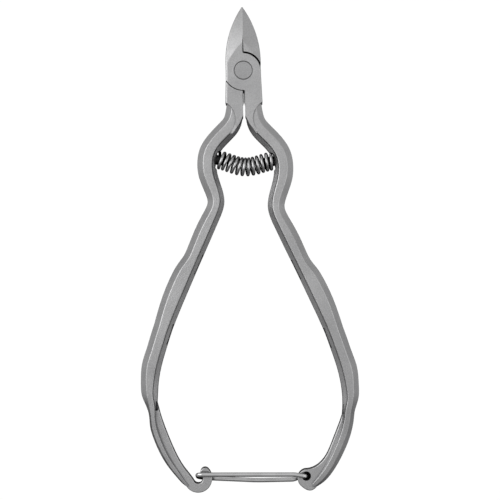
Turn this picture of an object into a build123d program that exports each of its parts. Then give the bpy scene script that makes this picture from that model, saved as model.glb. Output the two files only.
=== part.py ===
from build123d import *
import os
from math import atan2, cos, degrees, hypot, pi, sin, sqrt

# Nail nipper (toenail clipper) with a half-lapped joint, a coil spring between the handles
# and a wire keeper across their ends.  Everything is in millimetres.
#
# Frame: the tool lies flat.  +Y runs along it to the tip of the jaws, +X to the side of the
# handle that carries the keeper, +Z up out of the front face.  The pieces are drawn about the
# middle plane of the tool and lifted by HALF_THICK at the end, so the origin is on the pivot
# axis, in the plane of the joint's back face that the tool lies on.

# ---- joint and jaws -------------------------------------------------------------------------
HALF_THICK = 4.0          # half the depth of the joint
HALF_WIDTH = 5.05         # half the width across the joint
TIP_Y = 18.75             # blunt end of the jaws
OGIVE_Y = 2.5             # where the sides start to curve in to the tip
OGIVE_R = 29.2            # radius of that curve
EDGE_ROUND = 0.55         # rounding of the joint's long edges
LAP_GAP = 0.03            # half the gap between the two laps
LAP_R_JAW = 4.85          # edge of a lap beside the other lever's jaw
SEAT_R_JAW = 5.4          # the other jaw's shoulder around it
LAP_R_SHANK = 5.65        # edge of a lap beside the other lever's shank
SEAT_R_SHANK = 5.9        # the other shank's shoulder around it
SLIT_HALF = 0.3           # half the slit between the shanks, where it is open
SHANK_GAP = 0.06          # and half of it above that, at the bottom of its grooves
SLIT_OPEN_Y = -8.6        # it opens right through below here
SLIT_TAPER = 0.8          # and takes this long to reach its full width
GROOVE_DEPTH = 2.2        # depth of the V-grooves above that, front and back
EDGE_GAP = 0.015          # half the gap between the closed cutting edges
GRIND_R = 70.0            # convex grinding of the jaws' faces
GRIND_Y = -5.2            # where that surface is highest
GRIND_TOP = 5.36          # its height there
ROOF_SLOPE = 0.21         # the faces fall away to each side
LAND = 0.9                # depth of the cutting edges' flat land
HOLLOW_SLOPE = 0.25       # hollow ground back of the jaws, each side
RELIEF_Y = 12.0           # the groove behind the cutting edges starts here
RELIEF_HALF = 0.22        # and is this wide, each side, at the shoulders
RELIEF_DEPTH = 0.75       # its depth below the front face
RELIEF_END_SLOPE = 0.02   # slope of its sides where it fades out
SHANK_END_Y = -18.0
SCOOP_X = 7.8             # round cutter that ends the joint's flats at each handle
SCOOP_Y = -13.8
SCOOP_R = 5.3

# ---- rivet ----------------------------------------------------------------------------------
RIVET_R = 2.6
RIVET_CLEARANCE = 0.05    # in the lever that turns
RIVET_CHAMFER = 0.16

# ---- handles --------------------------------------------------------------------------------
# Stations down the inner edge of a handle: x, y, width across, half the depth
GRIP_STATIONS = [
    (0.60, -8.0, 4.40, 3.55),
    (0.48, -11.5, 4.85, 3.60),
    (0.62, -14.3, 5.25, 3.60),
    (1.75, -17.4, 5.55, 3.60),
    (3.85, -20.0, 5.65, 3.60),
    (6.30, -22.6, 5.60, 3.60),
    (7.85, -25.1, 5.60, 3.60),
    (8.35, -27.8, 5.50, 3.60),
    (8.10, -30.6, 5.40, 3.55),
    (7.35, -33.4, 5.15, 3.50),
    (6.55, -36.4, 4.95, 3.50),
    (6.30, -39.4, 4.80, 3.55),
    (6.95, -42.2, 4.75, 3.65),
    (8.30, -45.4, 5.00, 3.80),
    (10.30, -49.8, 5.25, 3.90),
    (12.35, -54.2, 5.10, 3.95),
    (13.55, -56.8, 5.15, 3.95),
    (14.70, -59.3, 5.75, 3.98),
    (16.70, -63.7, 6.25, 3.98),
    (18.95, -68.7, 6.20, 3.98),
    (21.00, -73.4, 5.75, 3.98),
    (22.20, -76.4, 5.45, 3.98),
    (23.10, -79.0, 5.45, 3.95),
    (24.30, -82.6, 5.40, 3.90),
    (25.60, -87.0, 5.55, 3.80),
    (26.50, -91.8, 5.00, 3.65),
    (26.75, -95.2, 4.50, 3.50),
]
# Below the grip the thick part of each handle narrows and a thin plate takes over inside it
EYE_TAIL = [
    (26.65, -98.2, 3.55, 3.35),
    (26.35, -100.6, 3.50, 3.20),
    (25.30, -104.3, 3.70, 3.00),
    (23.60, -108.6, 3.65, 2.80),
    (21.55, -113.2, 3.20, 2.55),
    (18.75, -117.4, 2.60, 2.25),
    (17.05, -119.6, 1.60, 1.90),
]
HOOK_TAIL = [
    (27.00, -96.0, 3.30, 3.35),
    (27.40, -98.6, 1.95, 3.20),
    (27.20, -101.3, 1.95, 3.00),
    (26.40, -104.2, 2.05, 2.85),
    (24.80, -108.4, 2.00, 2.65),
    (22.40, -112.9, 1.85, 2.35),
    (20.05, -116.5, 1.45, 2.05),
    (18.05, -119.1, 0.80, 1.65),
]
HOOK_HANDLE_RISE = 2.0    # the hook handle's bends sit this much nearer the joint
RISE_START_Y = -8.0
RISE_LENGTH = 36.0
OUTER_FACET = 1.75        # width of the slanted facet along the outside
INNER_FACET = 1.05        # and of the one along the inside
STEP_WIDTH = 0.25         # steep step between the inside facet and the front flat
ARRIS_ROUND = 0.28
# Hollows along the inside of the grip: height up the handle, length
DIMPLES = [(-57.5, 6.3), (-77.4, 6.3), (-98.0, 2.8)]
DIMPLE_HEIGHT = 1.0       # across the facet
DIMPLE_DEPTH = 0.55       # measured from the handle's inner edge
DIMPLE_LEVEL = 1.55       # height of their middles above the middle plane
DIMPLE_LEAN = 36.0        # they face this many degrees above level, as the inside facet does
DIMPLE_CUT = 4.0          # reach of the cutter, out past the surface

# ---- end plates: the eye for the keeper and the hook it catches on --------------------------
PLATE_HALF = 1.35
PLATE_ROUND = 0.3
EYE_X = 15.75
EYE_Y = -117.1
EYE_R = 1.35
EYE_BOSS_R = 2.45         # round end of the plate about the eye
EYE_WEB = 0.35            # half the web left between the eye's two blind sockets
HOOK_X = 15.5
HOOK_Y = -117.25
HOOK_R = 2.70             # to the middle of the bar
HOOK_BAR = 2.7
HOOK_ENTER = -30.0        # angles round the hook, drawn at +X: where its inside starts,
HOOK_TIP = 138.0          # its tip
HOOK_LEAVE = -37.0        # and where its outside leaves it, on the tangent
HOOK_BACK = 2.44          # distance to the next point of the back
EYE_PLATE_START = (27.0, -98.0)     # both plates start inside the thick part
HOOK_PLATE_START = (27.3, -93.5)

# ---- keeper ---------------------------------------------------------------------------------
KEEPER_WIRE_R = 0.64
KEEPER_LEVEL = 2.13       # height of its two strands from the middle plane
KEEPER_X = 15.5           # its two ends turn in the eye here
KEEPER_Y = -117.0
KEEPER_LOOP_X = -15.65
KEEPER_END_GAP = 0.98     # between its two ends, across the eye's web

# ---- spring ---------------------------------------------------------------------------------
SPRING_TURNS = 12
SPRING_R = 2.30           # to the middle of the wire
SPRING_WIRE_R = 0.46
SPRING_SAG = 1.9          # of its middle below its ends
SPRING_END_SLOPE = 0.42   # share of the sag that starts at once at the seats
SEAT_X = 8.35             # spot-faced seats on the handles
SEAT_Y_LEFT = -25.2
SEAT_Y_RIGHT = -25.9
SEAT_R = 2.95
SEAT_TILT = 9.0
PEG_R = 1.45
PEG_LENGTH = 3.0
PEG_ROOT = 2.0
POINTS_PER_TURN = 8       # the coil is drawn through this many points a turn
POINTS_PER_SWEEP = 2      # and swept in quarter turns


def lifted(shape):
    return Pos(0, 0, HALF_THICK) * shape


def save(shape, node):
    placed = lifted(shape)
    placed.label = node
    export_step(placed, f"parts/{node}.step")
    print(node, "volume", round(placed.volume, 2), "valid", placed.is_valid)


def prism(outline, low, high):
    """The closed outline, in plan, made solid between two heights."""
    return extrude(Pos(0, 0, low) * make_face(outline), high - low, dir=(0, 0, 1))


def disc(radius, low, high):
    return Pos(0, 0, low) * extrude(Circle(radius), high - low, dir=(0, 0, 1))


def block(x_low, x_high, y_low, y_high, z_low, z_high):
    size = (x_high - x_low, y_high - y_low, z_high - z_low)
    middle = ((x_high + x_low) / 2, (y_high + y_low) / 2, (z_high + z_low) / 2)
    return Pos(*middle) * Box(*size)


# ---- joint ----------------------------------------------------------------------------------
def ogive_point(y):
    return HALF_WIDTH - OGIVE_R + sqrt(OGIVE_R**2 - (y - OGIVE_Y) ** 2)


def grinding_cylinder(face):
    """Inside of the convex surface that the right-hand jaw's front (+1) or back (-1) is ground to."""
    cylinder = Rot(0, 90, 0) * Cylinder(GRIND_R, 60)
    tilted = Rot(0, degrees(atan2(ROOF_SLOPE, 1)), 0) * cylinder
    centre_z = GRIND_TOP - GRIND_R * hypot(1, ROOF_SLOPE)
    placed = Pos(0, GRIND_Y, centre_z) * tilted
    return placed if face > 0 else mirror(placed, Plane.XY)


def joint_half():
    """Outer form of the jaw and shank right of the middle, before it is shared out."""
    tip_x = ogive_point(TIP_Y)
    middle_y = (TIP_Y + OGIVE_Y) / 2
    side = ThreePointArc((HALF_WIDTH, OGIVE_Y), (ogive_point(middle_y), middle_y), (tip_x, TIP_Y))
    rest = Polyline(
        (tip_x, TIP_Y),
        (0, TIP_Y),
        (0, -12.2),
        (1.4, -15.2),
        (3.4, SHANK_END_Y),
        (6.0, SHANK_END_Y),
        (5.35, -9.5),
        (HALF_WIDTH, -1.5),
        (HALF_WIDTH, OGIVE_Y),
    )
    body = prism(side + rest, -HALF_THICK, HALF_THICK)
    body &= grinding_cylinder(1)
    body &= grinding_cylinder(-1)
    body -= Pos(SCOOP_X, SCOOP_Y, 0) * Cylinder(SCOOP_R, 20)
    side_edges = [
        e for e in body.edges()
        if abs(e.center().Z) > 0.4 * HALF_THICK
        and e.center().X > 0.45 * ogive_point(max(e.center().Y, OGIVE_Y))
        and e.center().Y > SCOOP_Y + 3.5
        and abs(e.tangent_at(0.5).Y) > 0.5
    ]
    return fillet(side_edges, EDGE_ROUND)


def joint_share():
    """The room that the front lever owns: left jaw, front lap and right shank."""
    far = 30.0
    top = HALF_THICK + 2
    share = block(-far, -EDGE_GAP, 0, far, -top, top)
    share += block(SHANK_GAP, far, -far, 0, -top, top)
    upper = disc(LAP_R_JAW, LAP_GAP, top) & block(-far, far, -0.01, far, 0, top)
    lower = disc(LAP_R_SHANK, LAP_GAP, top) & block(-far, far, -far, 0, 0, top)
    share += upper
    share += lower
    share -= disc(SEAT_R_JAW, -top, LAP_GAP) & block(-far, far, 0, far, -top, top)
    share -= disc(SEAT_R_SHANK, -top, LAP_GAP) & block(-far, far, -far, 0.01, -top, top)
    return share


def wedge_section(y, apex_z, base_z, slope):
    half = (apex_z - base_z) * slope
    return Plane(origin=(0, y, 0), x_dir=(1, 0, 0), z_dir=(0, -1, 0)) * make_face(
        Polyline((0, apex_z), (half, base_z), (-half, base_z), close=True)
    )


def hollow_grind():
    """Wedge ground out of the back of the closed jaws, up to the land of the cutting edges."""
    base_z = -HALF_THICK - 1
    lower = wedge_section(SEAT_R_JAW + 0.05, HALF_THICK - LAND, base_z, HOLLOW_SLOPE)
    upper = wedge_section(TIP_Y + 0.5, 1.25 - LAND, base_z, HOLLOW_SLOPE)
    return loft([lower, upper], ruled=True)


def edge_relief():
    """Narrow V-groove in the front of the jaws, behind the stretch that cuts."""
    rim = HALF_THICK + 1
    depth_z = HALF_THICK - RELIEF_DEPTH
    wide = wedge_section(LAP_R_JAW + 0.22, depth_z, rim, RELIEF_HALF / RELIEF_DEPTH)
    fine = wedge_section(RELIEF_Y, depth_z, rim, RELIEF_END_SLOPE)
    return loft([wide, fine], ruled=True)


def slit():
    """V-grooves between the shanks, front and back, running out into the open slit."""
    rim = HALF_THICK + 1
    slope = SLIT_HALF / GROOVE_DEPTH
    bottom_z = HALF_THICK - GROOVE_DEPTH
    ends = [wedge_section(y, bottom_z, rim, slope) for y in (-LAP_R_SHANK - 0.1, SLIT_OPEN_Y - 0.5)]
    groove = loft(ends, ruled=True)
    wide_y = SLIT_OPEN_Y - SLIT_TAPER
    side = [(SHANK_GAP, SLIT_OPEN_Y), (SLIT_HALF, wide_y), (SLIT_HALF, SHANK_END_Y)]
    outline = Polyline(*side, *[(-x, y) for x, y in reversed(side)], close=True)
    return groove + mirror(groove, Plane.XY) + prism(outline, -rim, rim)


def joint_parts():
    """Jaw, lap and shank of the front lever and of the back one."""
    half = joint_half()
    whole = half + mirror(half, Plane.YZ)
    share = joint_share()
    cutters = hollow_grind() + edge_relief() + slit()
    front = (whole & share) - cutters
    back = (whole & (Rot(0, 180, 0) * share)) - cutters
    return front, back


# ---- handles --------------------------------------------------------------------------------
def handle_section(spine, place, width, half_depth):
    """One cross-section: slanted facets inside and outside, a flat between them."""
    point = spine @ place
    along = spine % place
    outward = Vector(-along.Y, along.X, 0)
    plane = Plane(origin=point, x_dir=outward, z_dir=along)
    narrow = min(1.0, width / 4.6)
    inner = INNER_FACET * narrow**3
    outer = OUTER_FACET * narrow
    step = STEP_WIDTH * narrow
    upper = [
        (0, 0.34 * half_depth),
        (inner, 0.70 * half_depth),
        (inner + step, half_depth),
        (width - outer, half_depth - 0.06),
        (width, 0.30 * half_depth),
    ]
    lower = [(s, -z) for s, z in reversed(upper)]
    face = make_face(Polyline(*upper, *lower, close=True))
    concave_x = inner
    corners = [v for v in face.vertices() if abs(v.X - concave_x) > 1e-4]
    return plane * fillet(corners, ARRIS_ROUND * narrow)


def handle(stations):
    spine = Spline(*[(x, y, 0) for x, y, _, _ in stations])
    sections = []
    for x, y, width, half_depth in stations:
        place = spine.param_at_point(Vector(x, y, 0))
        sections.append(handle_section(spine, place, width, half_depth))
    return loft(sections)


def raised(stations, rise):
    """Stations moved towards the joint by up to `rise`, the joint end staying put."""
    moved = []
    for x, y, width, half_depth in stations:
        share = min(1.0, max(0.0, (RISE_START_Y - y) / RISE_LENGTH))
        moved.append((x, y + rise * share, width, half_depth))
    return moved


def rounded_plate(outline):
    plate = prism(outline, -PLATE_HALF, PLATE_HALF)
    rims = [e for e in plate.edges() if abs(abs(e.center().Z) - PLATE_HALF) < 1e-4]
    return fillet(rims, PLATE_ROUND)


def eye_plate():
    """Thin plate inside the end of the right-hand handle, round about the keeper's eye."""
    top = (EYE_X - 0.3, EYE_Y + EYE_BOSS_R - 0.5)
    chin = (EYE_X - 1.5, EYE_Y - 2.95)
    foot = (19.2, -119.5)
    inner = Spline(
        EYE_PLATE_START, (25.95, -101.3), (24.8, -104.2), (23.1, -108.3),
        (21.3, -111.8), (19.0, -114.1), top,
    )
    nose = ThreePointArc(top, (EYE_X - EYE_BOSS_R, EYE_Y - 0.2), chin)
    sole = Spline(chin, (17.2, -121.3), foot)
    back = Polyline(foot, (24.2, -112.2), (28.0, -104.5), (28.4, -99.0), EYE_PLATE_START)
    plate = rounded_plate(inner + nose + sole + back)
    socket = Pos(EYE_X, EYE_Y, 0) * disc(EYE_R, EYE_WEB, 2 * PLATE_HALF)
    return plate - socket - mirror(socket, Plane.XY)


def around_hook(radius, angle):
    turn = angle / 180 * pi
    return (HOOK_X + radius * cos(turn), HOOK_Y + radius * sin(turn))


def hook_plate():
    """Thin bar inside the end of the other handle, bent round into the hook; drawn at +X."""
    inner_r = HOOK_R - HOOK_BAR / 2
    outer_r = HOOK_R + HOOK_BAR / 2
    enter = around_hook(inner_r, HOOK_ENTER)
    tip_inside = around_hook(inner_r, HOOK_TIP)
    tip_outside = around_hook(outer_r, HOOK_TIP)
    middle = around_hook(HOOK_R, HOOK_TIP)
    reach = HOOK_BAR / 2
    past = ((HOOK_TIP - 90) / 180) * pi
    nose = (middle[0] + reach * cos(past), middle[1] + reach * sin(past))
    leave = around_hook(outer_r, HOOK_LEAVE)
    leave_turn = HOOK_LEAVE / 180 * pi
    away = (-sin(leave_turn), cos(leave_turn))
    back_end = (leave[0] + HOOK_BACK * away[0], leave[1] + HOOK_BACK * away[1])
    shoulder = (28.3, -97.0)
    tail = Spline(
        HOOK_PLATE_START, (26.0, -98.6), (24.2, -104.0), (22.2, -109.0), (19.5, -114.0), enter,
        tangents=[(-0.3, -1), (-0.5, -0.87)],
    )
    inside = ThreePointArc(enter, around_hook(inner_r, (HOOK_ENTER + HOOK_TIP - 360) / 2), tip_inside)
    cap = ThreePointArc(tip_inside, nose, tip_outside)
    outside = ThreePointArc(tip_outside, around_hook(outer_r, (HOOK_LEAVE + HOOK_TIP - 360) / 2), leave)
    back = Spline(
        leave, back_end, (23.6, -112.7), (26.1, -107.5), (27.9, -101.5), shoulder,
        tangents=[away, (0, 1)],
    )
    top = Line(shoulder, HOOK_PLATE_START)
    return rounded_plate(tail + inside + cap + outside + back + top)


def dimple(stations, y, length):
    """Shallow hollow in the inside facet of a handle at the height y."""
    lower = max(i for i, s in enumerate(stations) if s[1] > y)
    x0, y0 = stations[lower][:2]
    x1, y1 = stations[lower + 1][:2]
    share = (y0 - y) / (y0 - y1)
    x = x0 + share * (x1 - x0)
    along = degrees(atan2(y1 - y0, x1 - x0))
    pill = SlotOverall(length, DIMPLE_HEIGHT)
    cutter = extrude(pill, DIMPLE_CUT)
    facing = Rot(0, 0, along) * Rot(90 - DIMPLE_LEAN, 0, 0) * Pos(0, 0, -DIMPLE_DEPTH)
    return Pos(x, y, DIMPLE_LEVEL) * facing * cutter


# ---- spring, its seats and pegs -------------------------------------------------------------
def seat_frame(y):
    """Local frame of a spring seat on the right-hand handle: +Z points out of the seat."""
    return Plane(
        origin=(SEAT_X, y, 0),
        x_dir=(0, 0, 1),
        z_dir=(-cos(SEAT_TILT / 180 * pi), -sin(SEAT_TILT / 180 * pi), 0),
    )


def seat_cutter(y):
    spot_face = extrude(Circle(SEAT_R), 5)
    peg_hole = extrude(Circle(PEG_R), -PEG_ROOT)
    return seat_frame(y) * (spot_face + peg_hole)


def spring_peg(y):
    peg = Pos(0, 0, -PEG_ROOT) * extrude(Circle(PEG_R), PEG_ROOT + PEG_LENGTH)
    end = peg.edges().sort_by(Axis.Z)[-1]
    return seat_frame(y) * fillet(end, 0.4)


def spring_point(share):
    """Point on the spring's bowed centre line, from the left seat (0) to the right one (1)."""
    reach = SEAT_X - SPRING_WIRE_R - 0.06
    bow = sin(pi * share)
    sag = SPRING_SAG * (SPRING_END_SLOPE * bow + (1 - SPRING_END_SLOPE) * bow**2)
    y = SEAT_Y_LEFT + (SEAT_Y_RIGHT - SEAT_Y_LEFT) * share
    return Vector(reach * (2 * share - 1), y - sag, 0)


def coil_points():
    points = []
    count = SPRING_TURNS * POINTS_PER_TURN
    for i in range(count + 1):
        share = i / count
        ahead = (spring_point(share + 0.001) - spring_point(share - 0.001)).normalized()
        side = Vector(-ahead.Y, ahead.X, 0)
        turn = -2 * pi * i / POINTS_PER_TURN
        about = side * (SPRING_R * cos(turn)) + Vector(0, 0, SPRING_R * sin(turn))
        points.append(spring_point(share) + about)
    return points


def spring():
    """Left-handed coil of round wire about the bowed centre line, joined from quarter turns."""
    points = coil_points()
    coil = Spline(*points)
    ends = points[::POINTS_PER_SWEEP]
    tangents = [coil % coil.param_at_point(point) for point in ends]
    lengths = []
    for i in range(len(ends) - 1):
        first = i * POINTS_PER_SWEEP
        run = points[first:first + POINTS_PER_SWEEP + 1]
        edge = Edge.make_spline(run, tangents=(tangents[i], tangents[i + 1]))
        wire_end = Plane(origin=run[0], z_dir=tangents[i]) * Circle(SPRING_WIRE_R)
        lengths.append(sweep(wire_end, path=edge).solid())
    return lengths[0].fuse(*lengths[1:])


# ---- keeper ---------------------------------------------------------------------------------
def keeper_wire():
    """Wire bail: both ends turned in to the eye, the closed end looped over the hook."""
    level = KEEPER_LEVEL
    route = [
        (KEEPER_X, KEEPER_Y, KEEPER_END_GAP / 2),
        (KEEPER_X, KEEPER_Y, level),
        (12.4, -116.45, level),
        (KEEPER_LOOP_X, -115.9, level),
        (KEEPER_LOOP_X, -117.35, -level),
        (-11.8, -117.8, -level),
        (1.5, -118.65, -level),
        (12.4, -118.65, -level),
        (KEEPER_X, KEEPER_Y, -level),
        (KEEPER_X, KEEPER_Y, -KEEPER_END_GAP / 2),
    ]
    bends = [0.95, 4.0, 1.35, 1.35, 4.0, 60.0, 4.0, 0.95]
    path = FilletPolyline(*route, radius=bends)
    wire_end = Plane(origin=path @ 0, z_dir=path % 0) * Circle(KEEPER_WIRE_R)
    return sweep(wire_end, path=path, transition=Transition.RIGHT)


# ---- rivet ----------------------------------------------------------------------------------
def rivet():
    pin = Cylinder(RIVET_R, 2 * HALF_THICK)
    return chamfer(pin.edges().filter_by(GeomType.CIRCLE), RIVET_CHAMFER)


def rivet_hole(radius, face):
    """Bore with a small countersink at the front (+1) or back (-1) face."""
    bore = Cylinder(radius, 4 * HALF_THICK)
    sink_r = radius + RIVET_CHAMFER
    sink = Pos(0, 0, HALF_THICK - RIVET_CHAMFER / 2) * Cone(radius, sink_r, RIVET_CHAMFER)
    return bore + (sink if face > 0 else mirror(sink, Plane.XY))


# ---- levers ---------------------------------------------------------------------------------
def front_lever(joint):
    """Left jaw, front lap and the right-hand handle with the keeper's eye."""
    stations = GRIP_STATIONS + EYE_TAIL
    lever = (joint - rivet_hole(RIVET_R, 1)) + handle(stations) + eye_plate()
    lever -= seat_cutter(SEAT_Y_RIGHT)
    for y, length in DIMPLES:
        lever -= dimple(stations, y, length)
    return lever


def rear_lever(joint):
    """Right jaw, back lap and the left-hand handle with the hook."""
    stations = raised(GRIP_STATIONS, HOOK_HANDLE_RISE) + HOOK_TAIL
    arm = handle(stations) + hook_plate()
    arm -= seat_cutter(SEAT_Y_LEFT)
    for y, length in DIMPLES:
        arm -= dimple(stations, y + HOOK_HANDLE_RISE, length)
    return (joint - rivet_hole(RIVET_R + RIVET_CLEARANCE, -1)) + mirror(arm, Plane.YZ)


if __name__ == "__main__":
    os.makedirs("parts", exist_ok=True)
    front_joint, rear_joint = joint_parts()
    save(front_lever(front_joint), "front_lever")
    save(rear_lever(rear_joint), "rear_lever")
    save(rivet(), "pivot_rivet")
    save(spring(), "barrel_spring")
    save(mirror(spring_peg(SEAT_Y_LEFT), Plane.YZ), "spring_peg_left")
    save(spring_peg(SEAT_Y_RIGHT), "spring_peg_right")
    save(keeper_wire(), "keeper_wire")
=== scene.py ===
import math

import bpy
from mathutils import Matrix, Vector


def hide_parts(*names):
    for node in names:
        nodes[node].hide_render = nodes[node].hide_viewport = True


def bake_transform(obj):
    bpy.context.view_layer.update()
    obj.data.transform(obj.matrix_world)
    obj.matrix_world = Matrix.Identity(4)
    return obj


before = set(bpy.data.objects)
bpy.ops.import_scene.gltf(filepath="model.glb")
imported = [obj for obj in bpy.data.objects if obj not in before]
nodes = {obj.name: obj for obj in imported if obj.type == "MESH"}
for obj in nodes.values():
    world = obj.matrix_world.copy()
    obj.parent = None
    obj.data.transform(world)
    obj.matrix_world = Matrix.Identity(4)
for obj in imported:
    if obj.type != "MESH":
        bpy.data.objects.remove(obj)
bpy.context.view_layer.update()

MM = 0.001
MIDDLE = 4.0 * MM             # height of the tool's middle plane

GRAIN_DEPTH = 0.08 * MM       # relief of the blasted surface
DRAWN_DEPTH = 0.02 * MM       # and of the die's marks on the wire
PAINTED_SHADE_REACH = 0.9 * MM      # how near something must be for the painted shade to darken a lever
# how near something must be for the painted shade to darken a wire
WIRE_PAINTED_SHADE_REACH = 1.4 * MM
HOLE_SHADE_EDGE = (0.94, 0.99)    # the painted shade inside the eye fades out between these shares of its radius


def new_object(name, data):
    made = bpy.data.objects.new(name, data)
    bpy.context.scene.collection.objects.link(made)
    return made


def set_stops(ramp, stops):
    """Give a colour ramp its stops, each a place from 0 to 1 and a colour."""
    elements = ramp.color_ramp.elements
    while len(elements) < len(stops):
        elements.new(0.5)
    for element, (place, colour) in zip(elements, stops):
        element.position = place
        element.color = (*colour, 1)


# ---- materials --------------------------------------------------------------------------------
# Scales of the noises, in features per metre
CLOUDS = 90
WEAR = 420
SPECKLES = 3400
GRAIN = 3200
WIRE_CLOUDS = 260
WIRE_WEAR = 900
DIE_MARKS = 3000


class Nodes:
    """A material's node tree, with short calls for the nodes used here."""

    def __init__(self, name):
        self.material = bpy.data.materials.new(name)
        self.material.use_nodes = True
        self.tree = self.material.node_tree
        self.shader = self.tree.nodes["Principled BSDF"]
        self.position = self.add("ShaderNodeTexCoord").outputs["Object"]

    def add(self, kind, inputs=None, **settings):
        node = self.tree.nodes.new(kind)
        for key, value in settings.items():
            setattr(node, key, value)
        for key, value in (inputs or {}).items():
            if hasattr(value, "is_output"):
                self.tree.links.new(value, node.inputs[key])
            else:
                node.inputs[key].default_value = value
        return node

    def link(self, output, socket):
        self.tree.links.new(output, self.shader.inputs[socket])

    def noise(self, scale, detail, stretch=(1, 1, 1)):
        placed = self.add("ShaderNodeMapping", {"Vector": self.position, "Scale": stretch})
        return self.add(
            "ShaderNodeTexNoise", {"Vector": placed.outputs["Vector"], "Scale": scale, "Detail": detail}
        ).outputs["Fac"]

    def remap(self, value, low, high):
        """The middle of a noise's range stretched to run from low to high."""
        inputs = {"Value": value, "From Min": 0.3, "From Max": 0.7, "To Min": low, "To Max": high}
        return self.add("ShaderNodeMapRange", inputs).outputs["Result"]

    def ramp(self, value, stops):
        ramp = self.add("ShaderNodeValToRGB", {"Fac": value})
        set_stops(ramp, stops)
        return ramp.outputs["Color"]

    def times(self, first, second):
        """Two colours multiplied together."""
        return self.add(
            "ShaderNodeMixRGB", {"Fac": 1.0, "Color1": first, "Color2": second}, blend_type="MULTIPLY"
        ).outputs["Color"]

    def painted_crevice_shade(self, reach, darkest, low=0.38, high=0.78):
        """Painted shade in hollows and along inside corners, taken from occlusion: 1 in the open, darkest
        deep inside.
        """
        open_sky = self.add("ShaderNodeAmbientOcclusion", {"Distance": reach}, samples=8).outputs["AO"]
        return self.ramp(open_sky, [(low, (darkest,) * 3), (high, (1, 1, 1))])

    def socket(self, node, centre, radius):
        """Painted shade inside an upright round hole of the node: near black within, 1 outside it."""
        local = node.matrix_world.inverted() @ Vector(centre)
        apart = self.add("ShaderNodeVectorMath", {0: self.position, 1: local}, operation="SUBTRACT")
        flat = self.add("ShaderNodeVectorMath", {0: apart.outputs[0], 1: (1, 1, 0)}, operation="MULTIPLY")
        far = self.add("ShaderNodeVectorMath", {0: flat.outputs[0]}, operation="LENGTH").outputs["Value"]
        start, end = (share * radius for share in HOLE_SHADE_EDGE)
        outside = self.add(
            "ShaderNodeMapRange", {"Value": far, "From Min": start, "From Max": end}
        ).outputs["Result"]
        # Near-black painted shade in the hole, rising to 1 at its rim.
        return self.ramp(outside, [(0, (0.015,) * 3), (1, (1, 1, 1))])

    def bump(self, height, strength, distance):
        node = self.add("ShaderNodeBump", {"Height": height, "Strength": strength, "Distance": distance})
        self.link(node.outputs["Normal"], "Normal")


def satin_steel(name, low, high, rough_low, rough_high, hole=None):
    """Bead-blasted steel: fine grain, faint cloudy wear, painted shade in its crevices."""
    m = Nodes(name)
    cloud = m.ramp(m.noise(CLOUDS, 3), [(0.3, low), (0.7, high)])
    speckle = m.ramp(m.noise(SPECKLES, 2), [(0.3, (0.80,) * 3), (0.7, (1, 1, 1))])
    # The base colour is darkened by painted shade in hollows and along inside corners.
    colour = m.times(m.times(cloud, speckle), m.painted_crevice_shade(PAINTED_SHADE_REACH, 0.03))
    # Painted shade inside the keeper's eye hole.
    if hole:
        colour = m.times(colour, m.socket(*hole))
    m.link(colour, "Base Color")
    m.link(m.remap(m.noise(WEAR, 4), rough_low, rough_high), "Roughness")
    m.bump(m.noise(GRAIN, 2), 0.3, GRAIN_DEPTH)
    m.shader.inputs["Metallic"].default_value = 1.0
    return m.material


def drawn_wire(name, low, high, rough_low, rough_high, painted_shade_below):
    """Polished drawn wire, with fine marks of the die, and painted shade where it lies close to
    something.
    """
    m = Nodes(name)
    colour = m.ramp(m.noise(WIRE_CLOUDS, 3), [(0.3, low), (0.7, high)])
    # The base colour is darkened by painted shade where the wire lies close to something.
    m.link(m.times(colour, m.painted_crevice_shade(WIRE_PAINTED_SHADE_REACH, 0.01, painted_shade_below, 0.92)), "Base Color")
    m.link(m.remap(m.noise(WIRE_WEAR, 3, (0.2, 1, 1)), rough_low, rough_high), "Roughness")
    m.bump(m.noise(DIE_MARKS, 2, (0.15, 1, 1)), 0.12, DRAWN_DEPTH)
    m.shader.inputs["Metallic"].default_value = 1.0
    return m.material


EYE = (15.75 * MM, -117.1 * MM, MIDDLE)     # the keeper's hinge hole in the front lever
EYE_R = 1.35 * MM
LEVER_COLOURS = ((0.50, 0.50, 0.505), (0.60, 0.60, 0.605))
lever_steel = satin_steel("lever_steel", *LEVER_COLOURS, 0.34, 0.46)
# The front lever's material also has painted shade inside the keeper's eye.
eye_lever_steel = satin_steel(
    "eye_lever_steel", *LEVER_COLOURS, 0.34, 0.46, hole=(nodes["front_lever"], EYE, EYE_R)
)
rivet_steel = satin_steel("rivet_steel", (0.44, 0.44, 0.445), (0.53, 0.53, 0.535), 0.34, 0.46)
peg_steel = satin_steel("peg_steel", (0.03, 0.03, 0.031), (0.05, 0.05, 0.051), 0.36, 0.48)
# The last number is the occlusion level below which the wire's painted shade is darkest.
spring_wire = drawn_wire("spring_wire", (0.48, 0.48, 0.485), (0.60, 0.60, 0.605), 0.10, 0.18, 0.72)
keeper_steel = drawn_wire("keeper_steel", (0.66, 0.66, 0.665), (0.78, 0.78, 0.785), 0.08, 0.16, 0.62)


def clothe(node, material):
    node.data.materials.clear()
    node.data.materials.append(material)


for name, material in (
    ("front_lever", eye_lever_steel),
    ("rear_lever", lever_steel),
    ("pivot_rivet", rivet_steel),
    ("barrel_spring", spring_wire),
    ("spring_peg_left", peg_steel),
    ("spring_peg_right", peg_steel),
    ("keeper_wire", keeper_steel),
):
    clothe(nodes[name], material)


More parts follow.
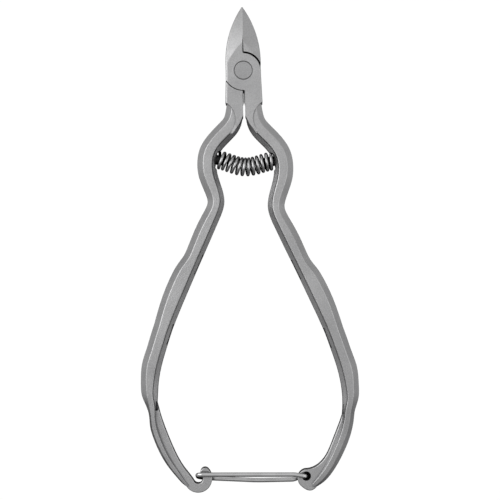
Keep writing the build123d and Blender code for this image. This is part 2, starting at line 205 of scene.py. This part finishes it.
# ---- spring -----------------------------------------------------------------------------------
COIL_TURNS = 12
COIL_R = 2.30 * MM            # to the middle of the wire
COIL_WIRE_R = 0.46 * MM
COIL_REACH = 7.83 * MM        # from the middle to each end
COIL_LEFT_Y = -25.2 * MM
COIL_RIGHT_Y = -25.9 * MM
COIL_SAG = 1.9 * MM
COIL_END_SLOPE = 0.42         # share of the sag that starts at once at the seats
STEPS_PER_TURN = 32
WIRE_SIDES = 12
LOOK_AHEAD = 0.001            # share of the coil's length either side, to find its direction


def coil_middle(share):
    """Point on the bowed centre line, from the left seat (0) to the right one (1)."""
    bow = math.sin(math.pi * share)
    sag = COIL_SAG * (COIL_END_SLOPE * bow + (1 - COIL_END_SLOPE) * bow**2)
    y = COIL_LEFT_Y + (COIL_RIGHT_Y - COIL_LEFT_Y) * share
    return Vector((COIL_REACH * (2 * share - 1), y - sag, MIDDLE))


def coil_wire(share):
    """Point on the left-handed coil."""
    ahead = (coil_middle(share + LOOK_AHEAD) - coil_middle(share - LOOK_AHEAD)).normalized()
    side = Vector((-ahead.y, ahead.x, 0))
    turn = -2 * math.pi * COIL_TURNS * share
    return coil_middle(share) + COIL_R * (side * math.cos(turn) + Vector((0, 0, math.sin(turn))))


def coil_spring():
    """Round-wire coil that stretches between the two levers as they open."""
    count = COIL_TURNS * STEPS_PER_TURN
    vertices = []
    for i in range(count + 1):
        share = i / count
        centre = coil_wire(share)
        ahead = (coil_wire(share + LOOK_AHEAD / 2) - coil_wire(share - LOOK_AHEAD / 2)).normalized()
        out = (centre - coil_middle(share)).normalized()
        across = ahead.cross(out).normalized()
        out = across.cross(ahead)
        for k in range(WIRE_SIDES):
            angle = 2 * math.pi * k / WIRE_SIDES
            vertices.append(centre + COIL_WIRE_R * (out * math.cos(angle) + across * math.sin(angle)))
    faces = []
    for i in range(count):
        for k in range(WIRE_SIDES):
            here, beside = i * WIRE_SIDES + k, i * WIRE_SIDES + (k + 1) % WIRE_SIDES
            faces.append((here, beside, beside + WIRE_SIDES, here + WIRE_SIDES))
    faces.append(tuple(reversed(range(WIRE_SIDES))))
    faces.append(tuple(range(count * WIRE_SIDES, (count + 1) * WIRE_SIDES)))
    mesh = bpy.data.meshes.new("coil_spring")
    mesh.from_pydata(vertices, [], faces)
    mesh.shade_smooth()
    mesh.materials.append(spring_wire)
    coil = new_object("coil_spring", mesh)
    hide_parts("barrel_spring")
    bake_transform(coil)


coil_spring()


# ---- floor, light, camera ---------------------------------------------------------------------
FLOOR_HALF = 3.0              # metres
FLOOR_DROP = 0.3 * MM         # it lies this far under the tool
LAMP_AIM = (0, -0.05, 0)
NEAR_SIDE = 0.25              # brightness of the room towards the keeper's end of the tool
# Brightness of the room from straight down (0) over the horizon (0.5) to straight up (1)
ROOM = [(0.10, 0.01), (0.19, 0.10), (0.27, 0.60), (0.40, 0.64), (0.60, 0.56), (0.85, 0.55), (1.0, 0.69)]
VIEW_WIDTH = 144.0 * MM       # width seen at VIEW_LEVEL
VIEW_CENTRE = (1.93 * MM, -51.5 * MM)
VIEW_TURN = math.radians(1.2)     # the tool appears turned this much counter-clockwise
VIEW_DISTANCE = 350 * MM
VIEW_LEVEL = MIDDLE + 2 * MM  # the height that the distance is taken from
SENSOR_WIDTH = 36.0


def sheet_of_floor():
    """White floor that glows by itself, so that the lamps and shadows leave it even."""
    mesh = bpy.data.meshes.new("floor")
    half = FLOOR_HALF
    mesh.from_pydata(
        [(-half, -half, 0), (half, -half, 0), (half, half, 0), (-half, half, 0)], [], [(0, 1, 2, 3)]
    )
    floor = new_object("floor", mesh)
    floor.location = (0, 0, -FLOOR_DROP)
    m = Nodes("floor_white")
    m.link(m.ramp(m.noise(3, 1), [(0.3, (0.010,) * 3), (0.7, (0.014,) * 3)]), "Base Color")
    m.shader.inputs["Roughness"].default_value = 0.9
    m.shader.inputs["Emission Color"].default_value = (1, 1, 1, 1)
    m.shader.inputs["Emission Strength"].default_value = 1.0
    floor.data.materials.append(m.material)
    floor.visible_glossy = False


def softbox(name, place, width, height, power):
    """Soft lamp aimed at the middle of the tool."""
    light = bpy.data.lights.new(name, "AREA")
    light.shape = "RECTANGLE"
    light.size = width
    light.size_y = height
    light.energy = power
    lamp = new_object(name, light)
    lamp.location = place
    lamp.rotation_euler = (Vector(LAMP_AIM) - Vector(place)).to_track_quat("-Z", "Y").to_euler()


def graded_room(stops):
    """Room light graded by height, and dimmer towards the keeper's end of the tool."""
    world = bpy.data.worlds.new("room")
    bpy.context.scene.world = world
    world.use_nodes = True
    tree = world.node_tree
    direction = tree.nodes.new("ShaderNodeTexCoord")
    parts = tree.nodes.new("ShaderNodeSeparateXYZ")
    ramp = tree.nodes.new("ShaderNodeValToRGB")
    tree.links.new(direction.outputs["Generated"], parts.inputs["Vector"])
    height = tree.nodes.new("ShaderNodeMapRange")
    height.inputs["From Min"].default_value = -1
    tree.links.new(parts.outputs["Z"], height.inputs["Value"])
    tree.links.new(height.outputs["Result"], ramp.inputs["Fac"])
    near_side = tree.nodes.new("ShaderNodeMapRange")
    for key, value in {"From Min": -0.9, "From Max": 0.0, "To Min": NEAR_SIDE, "To Max": 1.0}.items():
        near_side.inputs[key].default_value = value
    tree.links.new(parts.outputs["Y"], near_side.inputs["Value"])
    tree.links.new(near_side.outputs["Result"], tree.nodes["Background"].inputs["Strength"])
    tree.links.new(ramp.outputs["Color"], tree.nodes["Background"].inputs["Color"])
    set_stops(ramp, [(place, (level,) * 3) for place, level in stops])


def camera_above():
    """Camera straight above the tool, turned a little about the vertical."""
    data = bpy.data.cameras.new("camera")
    data.sensor_width = SENSOR_WIDTH
    data.sensor_fit = "HORIZONTAL"
    data.lens = SENSOR_WIDTH * VIEW_DISTANCE / VIEW_WIDTH
    data.clip_start = 0.01
    camera = new_object("camera", data)
    x, y = VIEW_CENTRE
    cos, sin = math.cos(-VIEW_TURN), math.sin(-VIEW_TURN)
    place = (x * cos - y * sin, x * sin + y * cos, VIEW_LEVEL + VIEW_DISTANCE)
    camera.matrix_world = Matrix.Translation(place) @ Matrix.Rotation(-VIEW_TURN, 4, "Z")
    bpy.context.scene.camera = camera


sheet_of_floor()
softbox("key", (-0.50, 0.12, 0.42), width=0.60, height=0.80, power=2.2)
softbox("fill", (0.55, -0.10, 0.40), width=0.50, height=0.70, power=0.7)
graded_room(ROOM)
camera_above()
bpy.context.scene.view_settings.view_transform = "Standard"
